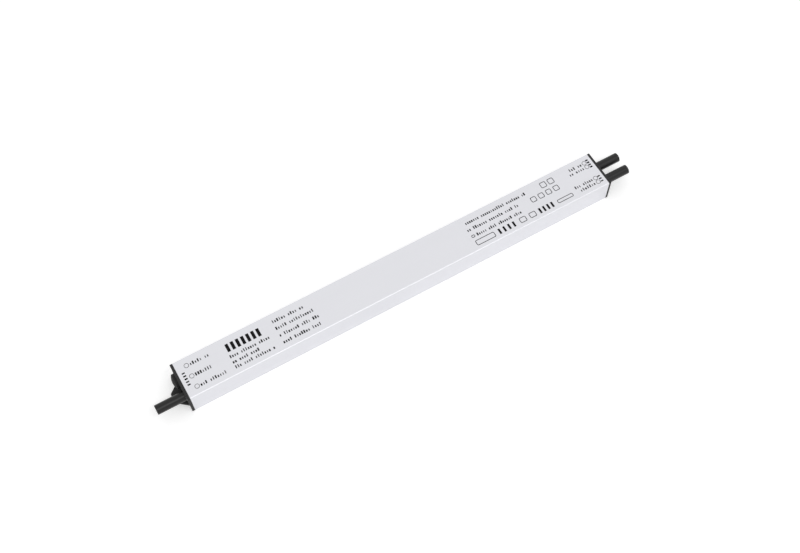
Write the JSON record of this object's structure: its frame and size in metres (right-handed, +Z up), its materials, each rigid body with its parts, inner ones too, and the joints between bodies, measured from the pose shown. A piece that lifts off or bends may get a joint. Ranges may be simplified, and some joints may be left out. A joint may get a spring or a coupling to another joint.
{
  "type": "led driver",
  "caption": "Slim sealed LED driver: a long aluminium tube with black end caps, mounting ears and cut cable ends, holding a potted circuit board that turns mains into lamp current.",
  "frame": {"origin": "middle of the case's underside", "axes": "+X along the case from the mains input to the lamp output, +Y across it towards the blank plug, +Z up from the mounting face"},
  "size_m": [0.389, 0.03, 0.021],
  "materials": {
    "case_aluminium": "fine matte anodised extrusion",
    "cap_plastic": "fine moulded texture",
    "gasket_rubber": "matte silicone",
    "plug_rubber": "satin rubber",
    "screw_steel": "bright zinc plate",
    "cable_jacket": "satin extruded jacket",
    "wire_brown": "extruded insulation",
    "wire_blue": "extruded insulation",
    "wire_earth": "extruded insulation, yellow with green stripe",
    "wire_purple": "extruded insulation",
    "wire_grey": "extruded insulation",
    "copper": "bare stranded copper",
    "board_laminate": "green solder mask",
    "black_moulding": "moulded component body",
    "disc_coating": "dipped epoxy",
    "thermistor_coating": "dipped lacquer",
    "film_box": "boxed film capacitor",
    "resonant_box": "boxed film capacitor",
    "ferrite": "ground ferrite",
    "winding": "enamelled copper turns",
    "capacitor_sleeve": "shrunk sleeve on an aluminium can",
    "anchor_steel": "crimped steel band",
    "pad_silicone": "soft thermal pad",
    "potting_silicone": "cured potting"
  },
  "bodies": {
    "root": {"case_extrusion": "case_aluminium", "input_end_cap": "cap_plastic", "output_end_cap": "cap_plastic", "input_gasket": "gasket_rubber", "output_gasket": "gasket_rubber", "input_cap_screws": "screw_steel", "output_cap_screws": "screw_steel", "blank_plug": "plug_rubber", "cable_anchors": "anchor_steel", "input_cable_jacket": "cable_jacket", "input_live_wire": "wire_brown", "input_neutral_wire": "wire_blue", "input_earth_wire": "wire_earth", "input_conductors": "copper", "output_cable_jacket": "cable_jacket", "output_positive_wire": "wire_brown", "output_negative_wire": "wire_blue", "output_conductors": "copper", "dimming_cable_jacket": "cable_jacket", "dimming_wire_one": "wire_purple", "dimming_wire_two": "wire_grey", "dimming_conductors": "copper", "circuit_board": "board_laminate", "fuse": "black_moulding", "varistor": "disc_coating", "inrush_thermistor": "thermistor_coating", "earth_capacitors": "disc_coating", "line_capacitors": "film_box", "line_choke_core": "ferrite", "line_choke_windings": "winding", "bridge_rectifier": "black_moulding", "boost_choke_core": "ferrite", "boost_choke_bobbin": "black_moulding", "boost_choke_winding": "winding", "storage_capacitors": "capacitor_sleeve", "resonant_capacitors": "resonant_box", "transformer_core": "ferrite", "transformer_bobbin": "black_moulding", "transformer_primary": "winding", "transformer_secondary": "winding", "output_capacitors": "capacitor_sleeve", "output_choke_core": "ferrite", "output_choke_winding": "winding", "optocouplers": "black_moulding", "dimming_controller": "black_moulding", "control_chips": "black_moulding", "power_transistors": "black_moulding", "output_rectifiers": "black_moulding", "thermal_pads": "pad_silicone", "potting_compound": "potting_silicone"}
  },
  "joints": []
}
